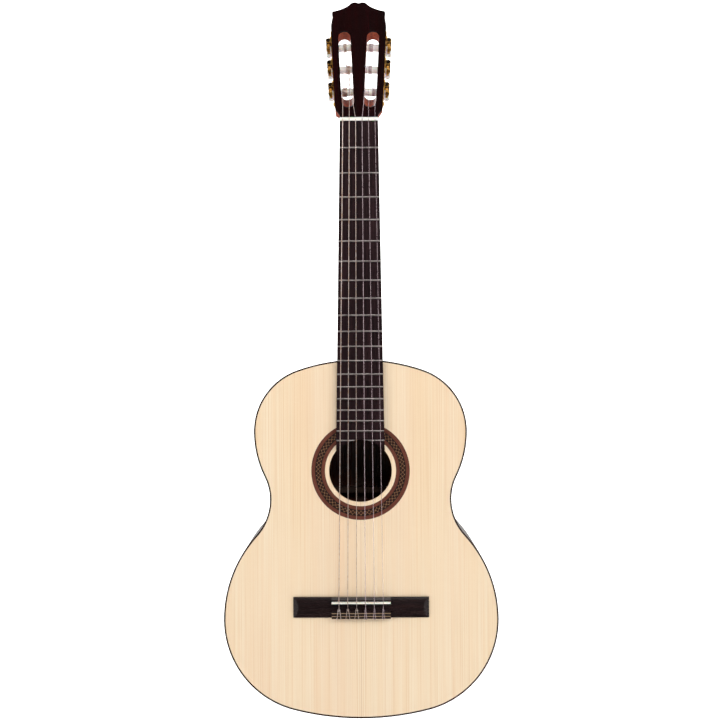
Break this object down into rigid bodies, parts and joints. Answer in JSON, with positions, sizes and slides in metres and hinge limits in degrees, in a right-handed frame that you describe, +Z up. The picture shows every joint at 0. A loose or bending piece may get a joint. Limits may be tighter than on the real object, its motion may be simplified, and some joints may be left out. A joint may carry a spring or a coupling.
{
  "type": "classical guitar",
  "caption": "Nylon-string classical guitar with a slotted headstock, turning machine heads, fretted neck, mosaic rosette and tie-block bridge on a hollow body.",
  "frame": {"origin": "on the centre line, where the nut meets the fretboard, in the plane of the soundboard's face; a hanger holds the neck there", "axes": "+Z up along the strings towards the head, +X towards the treble side, -Y out of the soundboard towards the listener"},
  "size_m": [0.374, 0.117, 0.9929],
  "materials": {
    "spruce": "clear gloss",
    "rosewood_body": "clear gloss",
    "binding": "clear gloss",
    "lining_wood": "bare",
    "neck_wood": "satin",
    "head_veneer": "clear gloss",
    "fretboard_wood": "oiled",
    "fret_metal": "polished",
    "bone": "satin",
    "bridge_wood": "satin",
    "rosette_brown": "clear gloss",
    "rosette_mosaic": "clear gloss",
    "gold_metal": "polished",
    "pearl": "pearl",
    "white_plastic": "moulded",
    "wound_string": "wound",
    "nylon_string": "clear"
  },
  "bodies": {
    "guitar": {"soundboard": "spruce", "back": "rosewood_body", "side_bass": "rosewood_body", "side_treble": "rosewood_body", "binding_top": "binding", "binding_back": "binding", "linings": "lining_wood", "end_blocks": "neck_wood", "top_braces": "lining_wood", "back_braces": "lining_wood", "neck": "neck_wood", "headstock": "neck_wood", "heel_cap": "head_veneer", "headplate": "head_veneer", "fretboard": "fretboard_wood", "frets": "fret_metal", "nut": "bone", "saddle": "bone", "bridge": "bridge_wood", "bridge_tie_inlay": "bone", "rosette_rings": "rosette_brown", "rosette_mosaic": "rosette_mosaic", "tuner_plates": "gold_metal", "plate_screws": "gold_metal", "string_low_e": "wound_string", "string_a": "wound_string", "string_d": "wound_string", "string_g": "nylon_string", "string_b": "nylon_string", "string_high_e": "nylon_string"},
    "worm_low_e": {"worm_shaft_low_e": "gold_metal", "button_low_e": "pearl"},
    "roller_low_e": {"roller_low_e": "white_plastic", "cog_low_e": "gold_metal", "cog_screw_low_e": "gold_metal"},
    "worm_a": {"worm_shaft_a": "gold_metal", "button_a": "pearl"},
    "roller_a": {"roller_a": "white_plastic", "cog_a": "gold_metal", "cog_screw_a": "gold_metal"},
    "worm_d": {"worm_shaft_d": "gold_metal", "button_d": "pearl"},
    "roller_d": {"roller_d": "white_plastic", "cog_d": "gold_metal", "cog_screw_d": "gold_metal"},
    "worm_g": {"worm_shaft_g": "gold_metal", "button_g": "pearl"},
    "roller_g": {"roller_g": "white_plastic", "cog_g": "gold_metal", "cog_screw_g": "gold_metal"},
    "worm_b": {"worm_shaft_b": "gold_metal", "button_b": "pearl"},
    "roller_b": {"roller_b": "white_plastic", "cog_b": "gold_metal", "cog_screw_b": "gold_metal"},
    "worm_high_e": {"worm_shaft_high_e": "gold_metal", "button_high_e": "pearl"},
    "roller_high_e": {"roller_high_e": "white_plastic", "cog_high_e": "gold_metal", "cog_screw_high_e": "gold_metal"}
  },
  "joints": [
    {"name": "tune_low_e", "type": "hinge", "parent": "guitar", "child": "worm_low_e", "pos_m": [-0.03928, 0.02378, 0.05479], "axis": [0, -0.9659, 0.2588], "continuous": true},
    {"name": "wind_low_e", "type": "hinge", "parent": "guitar", "child": "roller_low_e", "pos_m": [-0.03392, 0.02141, 0.04595], "axis": [-0.9988, -0.0129, -0.048], "continuous": true},
    {"name": "tune_a", "type": "hinge", "parent": "guitar", "child": "worm_a", "pos_m": [-0.04102, 0.03284, 0.08859], "axis": [0, -0.9659, 0.2588], "continuous": true},
    {"name": "wind_a", "type": "hinge", "parent": "guitar", "child": "roller_a", "pos_m": [-0.03566, 0.03047, 0.07976], "axis": [-0.9988, -0.0129, -0.048], "continuous": true},
    {"name": "tune_d", "type": "hinge", "parent": "guitar", "child": "worm_d", "pos_m": [-0.04277, 0.0419, 0.1224], "axis": [0, -0.9659, 0.2588], "continuous": true},
    {"name": "wind_d", "type": "hinge", "parent": "guitar", "child": "roller_d", "pos_m": [-0.0374, 0.03953, 0.11357], "axis": [-0.9988, -0.0129, -0.048], "continuous": true},
    {"name": "tune_g", "type": "hinge", "parent": "guitar", "child": "worm_g", "pos_m": [0.04277, 0.0419, 0.1224], "axis": [0, -0.9659, 0.2588], "continuous": true},
    {"name": "wind_g", "type": "hinge", "parent": "guitar", "child": "roller_g", "pos_m": [0.0374, 0.03953, 0.11357], "axis": [0.9988, -0.0129, -0.048], "continuous": true},
    {"name": "tune_b", "type": "hinge", "parent": "guitar", "child": "worm_b", "pos_m": [0.04102, 0.03284, 0.08859], "axis": [0, -0.9659, 0.2588], "continuous": true},
    {"name": "wind_b", "type": "hinge", "parent": "guitar", "child": "roller_b", "pos_m": [0.03566, 0.03047, 0.07976], "axis": [0.9988, -0.0129, -0.048], "continuous": true},
    {"name": "tune_high_e", "type": "hinge", "parent": "guitar", "child": "worm_high_e", "pos_m": [0.03928, 0.02378, 0.05479], "axis": [0, -0.9659, 0.2588], "continuous": true},
    {"name": "wind_high_e", "type": "hinge", "parent": "guitar", "child": "roller_high_e", "pos_m": [0.03392, 0.02141, 0.04595], "axis": [0.9988, -0.0129, -0.048], "continuous": true}
  ],
  "couplings": [
    {"joint": "wind_low_e", "follows": "tune_low_e", "ratio": -0.071429},
    {"joint": "wind_a", "follows": "tune_a", "ratio": -0.071429},
    {"joint": "wind_d", "follows": "tune_d", "ratio": -0.071429},
    {"joint": "wind_g", "follows": "tune_g", "ratio": -0.071429},
    {"joint": "wind_b", "follows": "tune_b", "ratio": -0.071429},
    {"joint": "wind_high_e", "follows": "tune_high_e", "ratio": -0.071429}
  ]
}
